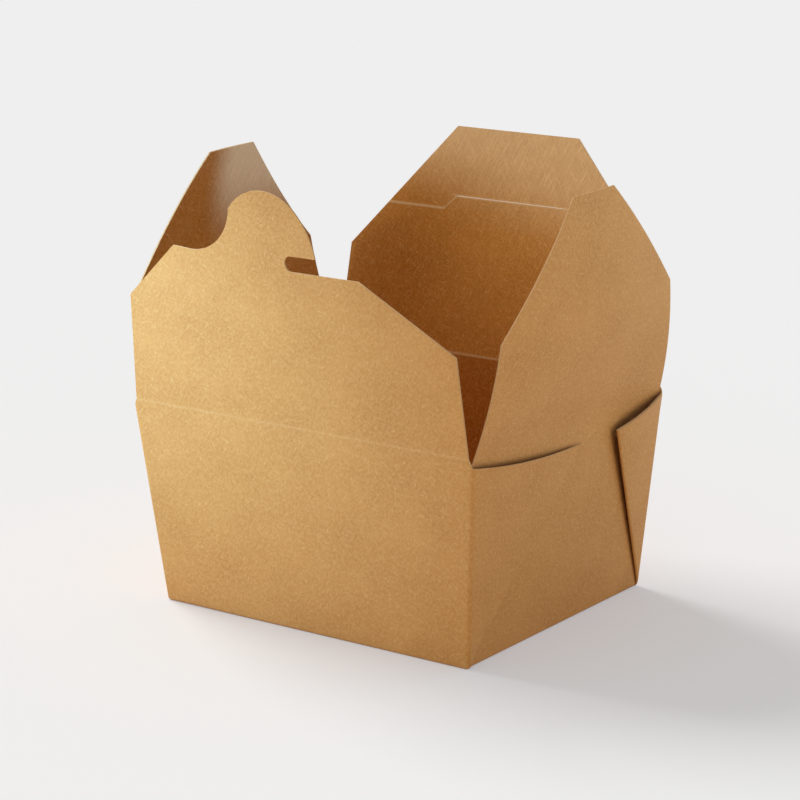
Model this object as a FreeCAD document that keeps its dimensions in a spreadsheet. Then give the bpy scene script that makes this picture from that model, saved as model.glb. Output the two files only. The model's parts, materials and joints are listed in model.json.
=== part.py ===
import FreeCAD, Part
import math
import os
import Sketcher

os.makedirs("parts", exist_ok=True)
doc = FreeCAD.newDocument("takeaway_box")

# Folded paperboard takeaway box, open, with its four lid flaps standing up.
# X runs along the long walls, the wall with the lock tab faces -Y, and the
# base rests on Z = 0 with its middle at the origin.

# Driving dimensions, in millimetres and degrees
DRIVING = {
    # board and creases
    "board": 0.45,
    "hinge_gap": 0.15,
    "crease_step": 0.8,
    # tray, measured over the outer faces of its plain walls
    "base_length": 111.6,
    "base_width": 90.2,
    "rim_length": 123.8,
    "rim_width": 99.8,
    "rim_height": 63.3,
    "corner_radius": 1.3,
    # gusset webs folded on to each end wall, places measured up the wall
    "front_web_tip_across": 6.7,
    "front_web_tip_up": 55.7,
    "front_web_arc": 310,
    "back_web_tip_across": 22.2,
    "back_web_tip_up": 56.2,
    "back_web_standoff": 2.4,
    "web_gap": 1.3,
    "web_corner_up": 61.9,
    # front flap with its lock tab: across from the middle, up from the crease
    "front_lean": 5.65,
    "front_crease_half": 61.2,
    "front_right_across": 59.7,
    "front_right_up": 29.6,
    "front_left_across": 58.8,
    "front_left_up": 33.4,
    "shoulder_up": 47.6,
    "right_shoulder_across": 27.7,
    "left_shoulder_across": 39.8,
    "left_shoulder_up": 50.7,
    "scoop_radius": 15.8,
    "scoop_foot_across": 32.8,
    "tab_left_across": 17.3,
    "tab_left_up": 64.1,
    "tab_head_radius": 15.6,
    "tab_head_end_across": 7.0,
    "tab_head_end_up": 65.3,
    "tab_flank_radius": 25.0,
    "tab_hook_across": 12.9,
    "notch_height": 4.7,
    "notch_end_across": 1.6,
    # back flap with its lock slit
    "back_lean": 11.75,
    "back_crease_half": 61.2,
    "back_side_half": 60.2,
    "back_side_up": 30.4,
    "back_top_half": 22.8,
    "back_top_up": 71.4,
    "slit_width": 0.4,
    "slit_low_up": 45.1,
    "slit_high_up": 49.4,
    "slit_left_across": 25.0,
    "slit_jog_across": 20.6,
    "slit_right_across": 20.0,
    "score_depth": 0.15,
    # end flaps, bowed outward
    "end_sway": 3.0,
    "end_crease_half": 48.6,
    "end_side_half": 43.4,
    "end_side_up": 34.0,
    "end_top_half": 10.4,
    "end_top_up": 70.2,
    "bow_mid_up": 37.0,
    "bow_mid_edge": 3.5,
    "bow_mid_rise": 4.8,
    "bow_top_up": 75.0,
    "bow_top_edge": -5.8,
    "bow_top_rise": 9.6,
}


class Size:
    """A number together with the sheet expression that gives it."""

    def __init__(self, value, text):
        self.value = value
        self.text = text

    def __add__(self, other):
        other = size(other)
        return Size(self.value + other.value, f"({self.text} + {other.text})")

    def __sub__(self, other):
        other = size(other)
        return Size(self.value - other.value, f"({self.text} - {other.text})")

    def __mul__(self, other):
        other = size(other)
        return Size(self.value * other.value, f"({self.text} * {other.text})")

    def __truediv__(self, other):
        other = size(other)
        return Size(self.value / other.value, f"({self.text} / {other.text})")

    def __neg__(self):
        return Size(-self.value, f"(0 - {self.text})")


def size(number):
    return number if isinstance(number, Size) else Size(float(number), f"({float(number)})")


def slope_angle(ratio):
    """The angle in degrees whose tangent is the ratio."""
    return Size(math.degrees(math.atan(ratio.value)), f"(atan({ratio.text}) / 1 deg)")


def make_sheet():
    sheet = doc.addObject("Spreadsheet::Sheet", "Dims")
    sizes = {}
    for row, (name, number) in enumerate(DRIVING.items(), start=1):
        sheet.set(f"A{row}", name)
        sheet.set(f"B{row}", str(number))
        sheet.setAlias(f"B{row}", name)
        sizes[name] = Size(float(number), f"Dims.{name}")
    doc.recompute()
    return sizes


D = make_sheet()
ZERO = size(0)

# Heights of the creases: the end flaps fold lowest and the front flap highest,
# so that the closed flaps lie one on another
back_crease_up = D["rim_height"]
end_crease_up = back_crease_up - D["crease_step"]
front_crease_up = back_crease_up + D["crease_step"]
wall_top_drop = D["board"] / 2 + D["hinge_gap"]
front_wall_up = front_crease_up - wall_top_drop

# Slopes of the walls, outward per height
end_slope = (D["rim_length"] - D["base_length"]) / 2 / D["rim_height"]
side_slope = (D["rim_width"] - D["base_width"]) / 2 / D["rim_height"]

web_stack = D["board"] * 2

# The rounded crease edge is a little thinner than the board it joins, and the
# radius of a half round is a touch over half its chord
ROLL_SHARE = 0.9
ARC_EASE = 1.001


def half_length_at(height):
    return D["base_length"] / 2 + end_slope * height


def half_width_at(height):
    return D["base_width"] / 2 + side_slope * height


# Helpers for bodies, sketches and features

def new_body(name):
    body = doc.addObject("PartDesign::Body", name)
    body.Label = name
    return body


def new_sketch(body, name, plane, height=ZERO, tilt=None):
    """A sketch on an origin plane, shifted along its normal and tilted about its first axis."""
    sketch = body.newObject("Sketcher::SketchObject", name)
    support = next(item for item in body.Origin.OriginFeatures if item.Role == plane)
    sketch.AttachmentSupport = [(support, "")]
    sketch.MapMode = "FlatFace"
    turn = FreeCAD.Rotation(FreeCAD.Vector(1, 0, 0), tilt.value if tilt else 0)
    sketch.AttachmentOffset = FreeCAD.Placement(FreeCAD.Vector(0, 0, height.value), turn)
    sketch.setExpression("AttachmentOffset.Base.z", height.text)
    if tilt:
        sketch.setExpression("AttachmentOffset.Rotation.Angle", tilt.text)
    return sketch


def bind(sketch, kind, elements, amount):
    """Adds a driving constraint whose value follows the sheet."""
    index = sketch.addConstraint(Sketcher.Constraint(kind, *elements, amount.value))
    sketch.setExpression(f"Constraints[{index}]", amount.text)


def pin(sketch, element, point, across, up):
    """Fixes one point of the sketch by its two distances from the sketch origin."""
    for kind, axis, amount in (("DistanceX", -2, across), ("DistanceY", -1, up)):
        if amount.value == 0:
            sketch.addConstraint(Sketcher.Constraint("PointOnObject", element, point, axis))
        elif amount.value > 0:
            bind(sketch, kind, (-1, 1, element, point), amount)
        else:
            bind(sketch, kind, (element, point, -1, 1), -amount)


def arc_between(start, end, radius):
    """The short arc from start to end; a positive radius has its centre on the left."""
    chord = end - start
    middle = (start + end) * 0.5
    left = FreeCAD.Vector(-chord.y, chord.x, 0).normalize()
    reach = math.sqrt(radius ** 2 - chord.Length ** 2 / 4)
    centre = middle + left * math.copysign(reach, radius)
    first, last = (start, end) if radius > 0 else (end, start)
    angles = [math.atan2(point.y - centre.y, point.x - centre.x) for point in (first, last)]
    circle = Part.Circle(centre, FreeCAD.Vector(0, 0, 1), abs(radius))
    return Part.ArcOfCircle(circle, angles[0], angles[1])


def outline(sketch, corners):
    """A closed outline through corners (across, up[, radius of the arc to the next corner])."""
    corners = [tuple(size(item) for item in corner) for corner in corners]
    points = [FreeCAD.Vector(corner[0].value, corner[1].value, 0) for corner in corners]
    begins, finishes = [], []
    for index, corner in enumerate(corners):
        start, end = points[index], points[(index + 1) % len(points)]
        if len(corner) == 2:
            element = sketch.addGeometry(Part.LineSegment(start, end), False)
            forward = True
        else:
            radius = corner[2]
            element = sketch.addGeometry(arc_between(start, end, radius.value), False)
            forward = radius.value > 0
            bind(sketch, "Radius", (element,), radius if forward else -radius)
        begins.append((element, 1 if forward else 2))
        finishes.append((element, 2 if forward else 1))
    for index, corner in enumerate(corners):
        sketch.addConstraint(Sketcher.Constraint("Coincident", *finishes[index - 1], *begins[index]))
        pin(sketch, *begins[index], corner[0], corner[1])


def loft(body, kind, name, sketches, ruled):
    feature = body.newObject(f"PartDesign::{kind}", name)
    feature.Profile = sketches[0]
    feature.Sections = sketches[1:]
    feature.Ruled = ruled
    doc.recompute()
    return feature


def pocket(body, name, sketch, depth=None, both_ways=False, along_normal=False):
    feature = body.newObject("PartDesign::Pocket", name)
    feature.Profile = sketch
    feature.Midplane = both_ways
    feature.Reversed = along_normal
    if depth:
        feature.Length = depth.value
        feature.setExpression("Length", depth.text)
    else:
        feature.Type = "ThroughAll"
    doc.recompute()
    return feature


def stand(body, across, deep, up, axis, angle):
    """Places a flap with its crease at the given point, turned about the axis."""
    turn = FreeCAD.Rotation(FreeCAD.Vector(*axis), angle.value)
    body.Placement = FreeCAD.Placement(FreeCAD.Vector(across.value, deep.value, up.value), turn)
    body.setExpression("Placement.Base.x", across.text)
    body.setExpression("Placement.Base.y", deep.text)
    body.setExpression("Placement.Base.z", up.text)
    body.setExpression("Placement.Rotation.Angle", angle.text)


# Tray: base, four leaning walls and the four glued gusset webs

def tray_profile(sketch, half_length, half_width, front_proud, back_proud):
    """The outer plan with rounded corners; each end wall bends at both of its web tips."""
    end = half_length + front_proud
    middle = half_length + back_proud
    bend = D["corner_radius"]
    outline(sketch, [
        (end, bend - half_width),
        (end, D["front_web_tip_across"]),
        (middle, D["back_web_tip_across"]),
        (end, half_width - bend, bend),
        (end - bend, half_width),
        (bend - end, half_width, bend),
        (-end, half_width - bend),
        (-middle, D["back_web_tip_across"]),
        (-end, D["front_web_tip_across"]),
        (-end, bend - half_width, bend),
        (bend - end, -half_width),
        (end - bend, -half_width, bend),
    ])


def rectangle(sketch, left, right, low, high):
    outline(sketch, [(left, low), (right, low), (right, high), (left, high)])


def web_gap_profile(sketch, height, gap, open_edge, closed_edge):
    """The thin triangle of air between an end wall and its back web."""
    wall = half_length_at(height)
    outline(sketch, [(wall, open_edge), (wall + gap, open_edge), (wall, closed_edge)])


def make_tray():
    body = new_body("tray")
    top = front_wall_up
    wall = D["board"]

    foot = new_sketch(body, "tray_foot_plan", "XY_Plane")
    tray_profile(foot, half_length_at(ZERO), half_width_at(ZERO), web_stack, web_stack)
    rim = new_sketch(body, "tray_rim_plan", "XY_Plane", top)
    tray_profile(rim, half_length_at(top), half_width_at(top), web_stack, D["back_web_standoff"])
    loft(body, "AdditiveLoft", "tray_outer", [foot, rim], True)

    floor = new_sketch(body, "tray_floor_plan", "XY_Plane", wall)
    half_x = half_length_at(wall) - wall
    half_y = half_width_at(wall) - wall
    rectangle(floor, -half_x, half_x, -half_y, half_y)
    mouth = new_sketch(body, "tray_mouth_plan", "XY_Plane", top)
    half_x = half_length_at(top) - wall
    half_y = half_width_at(top) - wall
    rectangle(mouth, -half_x, half_x, -half_y, half_y)
    loft(body, "SubtractiveLoft", "tray_inside", [floor, mouth], True)

    # The window outside an end wall leaves only its two webs standing proud
    lean = slope_angle(end_slope)
    window = new_sketch(body, "web_window_outline", "YZ_Plane", D["base_length"] / 2, lean)
    foot_half = D["base_width"] / 2 - D["corner_radius"]
    rim_half = D["rim_width"] / 2
    beyond = D["corner_radius"] * 2
    outline(window, [
        (-foot_half, -beyond),
        (-foot_half, ZERO),
        (D["front_web_tip_across"], D["front_web_tip_up"], -D["front_web_arc"]),
        (-rim_half, D["web_corner_up"]),
        (-rim_half - beyond, D["web_corner_up"]),
        (-rim_half - beyond, D["rim_height"] + beyond),
        (rim_half + beyond, D["rim_height"] + beyond),
        (rim_half + beyond, D["web_corner_up"]),
        (rim_half, D["web_corner_up"]),
        (D["back_web_tip_across"], D["back_web_tip_up"]),
        (foot_half, ZERO),
        (foot_half, -beyond),
    ])
    window_cut = pocket(body, "web_window", window, along_normal=True)

    # The back web stands off the end wall by a thin gap that opens toward its fold
    gap_foot = new_sketch(body, "web_gap_foot_plan", "XY_Plane", beyond * 2)
    web_gap_profile(gap_foot, beyond * 2, D["web_gap"] / 20, foot_half - beyond * 2, foot_half)
    gap_top = new_sketch(body, "web_gap_top_plan", "XY_Plane", top)
    web_gap_profile(gap_top, top, D["web_gap"], D["back_web_tip_across"] - beyond, foot_half)
    gap_cut = loft(body, "SubtractiveLoft", "web_gap", [gap_foot, gap_top], True)

    mirrored = body.newObject("PartDesign::Mirrored", "left_end_webs")
    mirrored.Originals = [window_cut, gap_cut]
    plane = next(item for item in body.Origin.OriginFeatures if item.Role == "YZ_Plane")
    mirrored.MirrorPlane = (plane, [""])
    body.Tip = mirrored
    doc.recompute()

    # The end walls and the back wall stop just under their own creases
    ends = new_sketch(body, "end_wall_top_plan", "XY_Plane", top)
    inside = half_length_at(top) - D["board"] * 4
    outside = half_length_at(top) + D["back_web_standoff"] * 2
    slot_half = D["end_crease_half"] + D["hinge_gap"] * 2
    rectangle(ends, inside, outside, -slot_half, slot_half)
    rectangle(ends, -outside, -inside, -slot_half, slot_half)
    pocket(body, "end_wall_tops", ends, depth=D["crease_step"] * 2)

    back = new_sketch(body, "back_wall_top_plan", "XY_Plane", top)
    rectangle(back, -outside, outside, slot_half - D["board"], half_width_at(top) + beyond)
    pocket(body, "back_wall_top", back, depth=D["crease_step"])
    return body


# Front flap with the lock tab, its scoop and its notch

def plate(body, sketch):
    pad = body.newObject("PartDesign::Pad", body.Name + "_board")
    pad.Profile = sketch
    pad.Midplane = True
    pad.Length = D["board"].value
    pad.setExpression("Length", D["board"].text)
    doc.recompute()
    return pad


def crease_roll(body, half_length, plane):
    """A round edge along the crease, so that the flap turns without meeting the wall."""
    sketch = new_sketch(body, body.Name + "_crease_section", plane)
    radius = D["board"] / 2 * ROLL_SHARE
    overlap = D["board"] / 10
    outline(sketch, [
        (-radius, ZERO, radius * ARC_EASE),
        (radius, ZERO),
        (radius, overlap),
        (-radius, overlap),
    ])
    pad = body.newObject("PartDesign::Pad", body.Name + "_crease")
    pad.Profile = sketch
    pad.Midplane = True
    pad.Length = half_length.value * 2
    pad.setExpression("Length", (half_length * 2).text)
    doc.recompute()


def make_front_flap():
    body = new_body("front_flap")
    sketch = new_sketch(body, "front_flap_outline", "XZ_Plane")
    notch_top = D["shoulder_up"] + D["notch_height"]
    notch_end = D["notch_end_across"] + D["notch_height"] / 2
    outline(sketch, [
        (-D["front_crease_half"], ZERO),
        (D["front_crease_half"], ZERO),
        (D["front_right_across"], D["front_right_up"]),
        (D["right_shoulder_across"], D["shoulder_up"]),
        (notch_end, D["shoulder_up"], -D["notch_height"] / 2 * ARC_EASE),
        (notch_end, notch_top),
        (D["tab_hook_across"], notch_top, D["tab_flank_radius"]),
        (D["tab_head_end_across"], D["tab_head_end_up"], D["tab_head_radius"]),
        (-D["tab_left_across"], D["tab_left_up"], -D["scoop_radius"]),
        (-D["scoop_foot_across"], D["left_shoulder_up"] - D["board"]),
        (-D["left_shoulder_across"], D["left_shoulder_up"]),
        (-D["front_left_across"], D["front_left_up"]),
    ])
    plate(body, sketch)
    crease_roll(body, D["front_crease_half"], "YZ_Plane")
    depth = half_width_at(front_crease_up) - D["board"] / 2
    stand(body, ZERO, -depth, front_crease_up, (1, 0, 0), D["front_lean"])
    return body


# Back flap with the jogged lock slit and the scores beside it

def jogged_band(sketch, points, width):
    """A band of even width along a polyline that runs across the flap."""
    outline(sketch, [(across, up - width / 2) for across, up in points]
            + [(across, up + width / 2) for across, up in reversed(points)])


def make_back_flap():
    body = new_body("back_flap")
    sketch = new_sketch(body, "back_flap_outline", "XZ_Plane")
    outline(sketch, [
        (-D["back_crease_half"], ZERO),
        (D["back_crease_half"], ZERO),
        (D["back_side_half"], D["back_side_up"]),
        (D["back_top_half"], D["back_top_up"]),
        (-D["back_top_half"], D["back_top_up"]),
        (-D["back_side_half"], D["back_side_up"]),
    ])
    plate(body, sketch)
    crease_roll(body, D["back_crease_half"], "YZ_Plane")

    slit = new_sketch(body, "lock_slit_outline", "XZ_Plane")
    left, jog, right = D["slit_left_across"], D["slit_jog_across"], D["slit_right_across"]
    low, high = D["slit_low_up"], D["slit_high_up"]
    jogged_band(slit, [(-left, low), (-jog, high), (right, high)], D["slit_width"])
    pocket(body, "lock_slit", slit, both_ways=True)

    # The scores are pressed into the inner face and run from the slit to the slanted edges
    chamfer_slope = (D["back_side_half"] - D["back_top_half"]) / (D["back_top_up"] - D["back_side_up"])
    edge_low = D["back_top_half"] + chamfer_slope * (D["back_top_up"] - low)
    edge_high = D["back_top_half"] + chamfer_slope * (D["back_top_up"] - high)
    scores = new_sketch(body, "lock_score_outline", "XZ_Plane", D["board"] / 2)
    jogged_band(scores, [(-edge_low - 1, low), (-left - D["slit_width"], low)], D["slit_width"])
    jogged_band(scores, [(right + D["slit_width"], high), (edge_high + 1, high)], D["slit_width"])
    pocket(body, "lock_scores", scores, depth=D["score_depth"])

    depth = half_width_at(back_crease_up) - D["board"] / 2
    stand(body, ZERO, depth, back_crease_up, (-1, 0, 0), D["back_lean"])
    return body


# End flaps: a board bowed outward, cut to its outline

def bow_section(body, name, side, up, edge, rise):
    """One level section through the bowed board, with its hollow toward the opening."""
    sketch = new_sketch(body, name, "XY_Plane", up)
    half = D["rim_width"] / 2
    outer = (edge + D["board"] / 2) * side
    inner = (edge - D["board"] / 2) * side
    if rise.value == 0:
        outline(sketch, [(outer, -half), (outer, half), (inner, half), (inner, -half)])
    else:
        radius = (half * half + rise * rise) / (rise * 2) * side
        outline(sketch, [(outer, -half, radius), (outer, half), (inner, half, -radius), (inner, -half)])
    return sketch


def make_end_flap(name, side):
    """Side is 1 for the flap on the right end and -1 for the one on the left."""
    body = new_body(name)
    sections = [
        bow_section(body, name + "_foot_plan", side, ZERO, ZERO, ZERO),
        bow_section(body, name + "_middle_plan", side, D["bow_mid_up"], D["bow_mid_edge"], D["bow_mid_rise"]),
        bow_section(body, name + "_top_plan", side, D["bow_top_up"], D["bow_top_edge"], D["bow_top_rise"]),
    ]
    loft(body, "AdditiveLoft", name + "_board", sections, False)

    trim = new_sketch(body, name + "_outline", "YZ_Plane")
    half = D["rim_width"]
    rectangle(trim, -half, half, -half, D["bow_top_up"] * 2)
    outline(trim, [
        (-D["end_crease_half"], -D["board"]),
        (D["end_crease_half"], -D["board"]),
        (D["end_side_half"], D["end_side_up"]),
        (D["end_top_half"], D["end_top_up"]),
        (-D["end_top_half"], D["end_top_up"]),
        (-D["end_side_half"], D["end_side_up"]),
    ])
    pocket(body, name + "_trim", trim, both_ways=True)
    crease_roll(body, D["end_crease_half"], "XZ_Plane")
    across = (half_length_at(end_crease_up) - D["board"] / 2) * side
    stand(body, across, ZERO, end_crease_up, (0, 1, 0), D["end_sway"])
    return body


def write_parts(bodies):
    doc.recompute()
    for item in doc.Objects:
        if "Invalid" in item.State or "Error" in item.State:
            raise RuntimeError(f"{item.Name} is in state {item.State}")
    for body in bodies:
        shape = body.Shape
        if shape.isNull() or not shape.isValid() or len(shape.Solids) != 1:
            raise RuntimeError(f"{body.Label} is not one valid solid")
        shape.exportStep(f"parts/{body.Label}.step")
        box = shape.BoundBox
        print(f"{body.Label}: {shape.Volume:.0f} mm3, area {shape.Area:.0f} mm2, "
              f"X {box.XMin:.1f} to {box.XMax:.1f}, Y {box.YMin:.1f} to {box.YMax:.1f}, "
              f"Z {box.ZMin:.1f} to {box.ZMax:.1f}")


write_parts([
    make_tray(),
    make_front_flap(),
    make_back_flap(),
    make_end_flap("left_end_flap", -1),
    make_end_flap("right_end_flap", 1),
])
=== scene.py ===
# %% [markdown]
# # A folded kraft board takeaway box
#
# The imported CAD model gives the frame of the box: its tray and its four lid flaps, each on its own hinge.
# The scene dresses that frame. Each wall and the flap above it become one thin sheet of board that bends at
# the crease, with a matte kraft face outside, a glossy coated face inside and a pale cut edge. Lengths are
# written in millimetres and turned into metres when a mesh is finished.

# %% Load the frame
import json
import math

import bmesh
import bpy
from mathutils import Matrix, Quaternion, Vector
from mathutils.geometry import intersect_point_line


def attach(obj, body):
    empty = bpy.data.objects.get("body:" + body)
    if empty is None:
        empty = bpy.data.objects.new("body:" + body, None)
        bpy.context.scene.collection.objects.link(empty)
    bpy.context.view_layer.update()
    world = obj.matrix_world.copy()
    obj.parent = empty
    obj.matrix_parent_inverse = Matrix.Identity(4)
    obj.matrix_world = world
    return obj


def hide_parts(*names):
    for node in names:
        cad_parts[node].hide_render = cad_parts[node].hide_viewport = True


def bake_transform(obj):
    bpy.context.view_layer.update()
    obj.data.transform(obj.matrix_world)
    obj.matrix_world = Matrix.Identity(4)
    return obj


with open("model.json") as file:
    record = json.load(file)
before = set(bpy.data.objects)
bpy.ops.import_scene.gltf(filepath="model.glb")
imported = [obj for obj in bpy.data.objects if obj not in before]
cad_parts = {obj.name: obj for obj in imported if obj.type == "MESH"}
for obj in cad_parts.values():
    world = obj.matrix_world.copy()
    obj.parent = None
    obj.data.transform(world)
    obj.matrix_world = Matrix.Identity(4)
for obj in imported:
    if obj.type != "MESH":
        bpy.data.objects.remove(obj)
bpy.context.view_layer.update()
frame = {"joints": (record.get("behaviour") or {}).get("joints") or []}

MM = 0.001
crease = {joint["child"]: Vector(joint["pos_m"]) / MM for joint in frame["joints"]}
for body, place in crease.items():
    print(f"{body} turns at {place.x:.2f}, {place.y:.2f}, {place.z:.2f} mm")

# %% [markdown]
# ## The folded board
#
# The board is 0.45 mm thick. The tray is a truncated pyramid, so half its length and half its width grow
# evenly with height. The crease heights come from the hinges of the frame, and the rest are the sizes of the
# die-cut sheet. At its foot a wall curls under in a small round, as pressed board does.

# %% Sizes of the tray
BOARD = 0.45
LENGTH_AT_BASE, LENGTH_AT_RIM = 111.6, 123.8
WIDTH_AT_BASE, WIDTH_AT_RIM = 90.2, 99.8
RIM_UP = 63.3
CORNER = 1.3
FOOT = 0.8
ARC = math.pi * CORNER / 4


def half_length(up):
    return LENGTH_AT_BASE / 2 + (LENGTH_AT_RIM - LENGTH_AT_BASE) / 2 * up / RIM_UP


def half_width(up):
    return WIDTH_AT_BASE / 2 + (WIDTH_AT_RIM - WIDTH_AT_BASE) / 2 * up / RIM_UP


def foot_inset(up):
    left = min(max((FOOT - up) / FOOT, 0), 1)
    return FOOT * (1 - math.sqrt(1 - left * left))


print(f"the opening is {2 * half_length(RIM_UP):.1f} by {2 * half_width(RIM_UP):.1f} mm at the rim")

# %% [markdown]
# ## Flat outlines
#
# Every sheet is drawn flat first, in two coordinates: across and up. On a long wall, across runs on round
# the corner and on to the gusset webs, so the wall and its two webs are one sheet, as in the real box. Up is
# the height on the tray, and goes on up the flap above the crease. Round stretches are arcs.

# %% Arcs and corners
def arc(start, end, radius, steps=10):
    """Points after start up to end along the short arc; a positive radius has its centre on the left."""
    a, b = Vector(start), Vector(end)
    chord = b - a
    left = Vector((-chord.y, chord.x)).normalized()
    reach = math.sqrt(max(radius ** 2 - chord.length ** 2 / 4, 0))
    centre = (a + b) / 2 + left * math.copysign(reach, radius)
    first = math.atan2(a.y - centre.y, a.x - centre.x)
    last = math.atan2(b.y - centre.y, b.x - centre.x)
    turn = (last - first) % (2 * math.pi) if radius > 0 else -((first - last) % (2 * math.pi))
    angles = [first + turn * (step + 1) / steps for step in range(steps)]
    return [(centre.x + abs(radius) * math.cos(t), centre.y + abs(radius) * math.sin(t)) for t in angles]


def mirrored(points):
    return [(-across, up) for across, up in reversed(points)]


def raised(points, up):
    return [(across, height + up) for across, height in points]


half_round = arc((1, 0), (-1, 0), 1)
print(f"a half round has {len(half_round)} points and its top is at {max(up for _, up in half_round):.2f}")

# %% [markdown]
# ## Gusset webs
#
# A web is the triangle of board that a folded corner leaves over. It lies flat on the outside of the end
# wall, doubled at a slanted fold. The front webs are long and pressed flat at their fold. The back webs are
# short, and their fold stands off the wall. The free top edge of a web gapes a little. Tip says how far the
# tip passes the middle of the end, and how high it is.

# %% Sizes of the webs
WEB_PROUD = 0.95
FRONT_TIP, BACK_TIP = (6.7, 55.45), (-22.2, 55.95)
FRONT_FOLD_PROUD, BACK_FOLD_PROUD = 0.3, 2.6
WEB_CORNER_UP = 61.6
WEB_ARC = 310
WEB_GAPE = 2.6
FOLD_RADIUS = 0.46
FOLD_ARC = math.pi * FOLD_RADIUS / 2


def corner_across(up):
    """Across to the middle of the rounded corner, from the middle of a long wall."""
    return half_length(up) + WEB_PROUD - CORNER + ARC


def web_reach(up, tip):
    """How far a web reaches from its corner at a height, up to its slanted fold."""
    whole = half_width(tip[1]) - CORNER + ARC + tip[0]
    return whole * up / tip[1]


def fold_line(tip):
    """Where the slanted fold starts, its direction, and the direction across it away from the wall."""
    foot = Vector((corner_across(0), 0))
    along = (Vector((corner_across(tip[1]) + web_reach(tip[1], tip), tip[1])) - foot).normalized()
    return foot, along, Vector((along.y, -along.x))


def over_fold(point, tip):
    """The mirror image of a point in the slanted fold."""
    foot, _, away = fold_line(tip)
    here = Vector(point)
    return tuple(here - away * 2 * (here - foot).dot(away))


print(f"the front webs reach {web_reach(FRONT_TIP[1], FRONT_TIP):.1f} mm, the back webs "
      f"{web_reach(BACK_TIP[1], BACK_TIP):.1f} mm")

# %% [markdown]
# The front sheet's flap carries the lock tab: a round head with a scoop on its left, and a hook on its right
# over a round-ended notch. The back sheet's flap is a plain trapezoid. The back sheet goes on past the fold
# of each web, because there the inner half of the web can be seen in the gap. The notch's radius is a hair
# over half its height, so that its arc is sure to have a centre.

# %% Outlines of the long sheets
CREASE_HALF = 61.2
NOTCH_LOW, NOTCH_HIGH, NOTCH_END = 47.6, 52.3, 3.95
NOTCH_RADIUS = (NOTCH_HIGH - NOTCH_LOW) / 2 * 1.001
HOOK, HEAD_RIGHT, HEAD_LEFT = (12.9, NOTCH_HIGH), (7.0, 65.3), (-17.3, 64.1)
SCOOP_END = (-32.8, 50.25)
HOOK_RADIUS, HEAD_RADIUS, SCOOP_RADIUS = 25, 15.6, 15.8
front_flap = (
    [(CREASE_HALF, 0), (59.7, 29.6), (27.7, NOTCH_LOW), (NOTCH_END, NOTCH_LOW)]
    + arc((NOTCH_END, NOTCH_LOW), (NOTCH_END, NOTCH_HIGH), -NOTCH_RADIUS)
    + [HOOK]
    + arc(HOOK, HEAD_RIGHT, HOOK_RADIUS)
    + arc(HEAD_RIGHT, HEAD_LEFT, HEAD_RADIUS, 24)
    + arc(HEAD_LEFT, SCOOP_END, -SCOOP_RADIUS, 14)
    + [(-39.8, 50.7), (-58.8, 33.4), (-CREASE_HALF, 0)]
)
BACK_FLAP_TOP = (22.8, 71.4)
back_flap = [(CREASE_HALF, 0), (60.2, 30.4), BACK_FLAP_TOP]
back_flap += mirrored(back_flap)
DOUBLED_FROM, DOUBLED_TO = 3.2, WEB_CORNER_UP - 0.4


def web_edge(tip, top_arc):
    tip_point = (corner_across(tip[1]) + web_reach(tip[1], tip), tip[1])
    corner = (corner_across(WEB_CORNER_UP), WEB_CORNER_UP)
    return [tip_point] + (arc(tip_point, corner, -top_arc, 16) if top_arc else [corner])


def long_outline(tip, top_arc, flap, doubled):
    right = [(corner_across(0), 0)]
    if doubled:
        right += [over_fold((corner_across(up) + ARC, up), tip) for up in (DOUBLED_FROM, DOUBLED_TO)]
    right += web_edge(tip, top_arc)
    return right + flap + mirrored(right)


front_up, back_up = crease["front_flap"].z, crease["back_flap"].z
front_outline = long_outline(FRONT_TIP, WEB_ARC, raised(front_flap, front_up), False)
back_outline = long_outline(BACK_TIP, None, raised(back_flap, back_up), True)
print(f"the front sheet has {len(front_outline)} outline points, the back one {len(back_outline)}")

# %% [markdown]
# An end sheet is the end wall, which the webs cover at its sides, and the flap above it. The right flap's
# back corner stands a little higher than its front one, as the photo shows.

# %% Outline of the end sheets
end_up = crease["right_end_flap"].z
CLEAR = BOARD + 0.05
END_FOOT, END_TOP = (48.6, 0), (10.4, 70.2)
END_SIDE, END_SIDE_RAISED = (43.4, 34.0), (44.0, 36.0)
wall_half = [(half_width(0) - CLEAR, 0), (half_width(end_up) - CLEAR, end_up - 0.4)]
end_plain = wall_half + raised([END_FOOT, END_SIDE, END_TOP], end_up)
end_raised = wall_half + raised([END_FOOT, END_SIDE_RAISED, END_TOP], end_up)
end_outlines = {
    "left_end_flap": end_plain + mirrored(end_plain),
    "right_end_flap": end_raised + mirrored(end_plain),
}
print(f"the end flaps are {END_TOP[1]:.1f} mm high")

# %% [markdown]
# ## From flat to folded
#
# These functions say where a point of a flat sheet goes on the box, on the board's outer face. A long sheet
# turns the rounded corner on to the end wall. Its web gapes in an arch between its corner and its fold, which
# grows fast towards the rim.

# %% Place a point of a long sheet
FRONT_LEAN, BACK_LEAN = math.radians(5.65), math.radians(11.75)
LEAST_REACH = 4
GAPE_GROWTH = 6


def smooth_share(value):
    share = min(max(value, 0), 1)
    return share * share * (3 - 2 * share)


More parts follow.
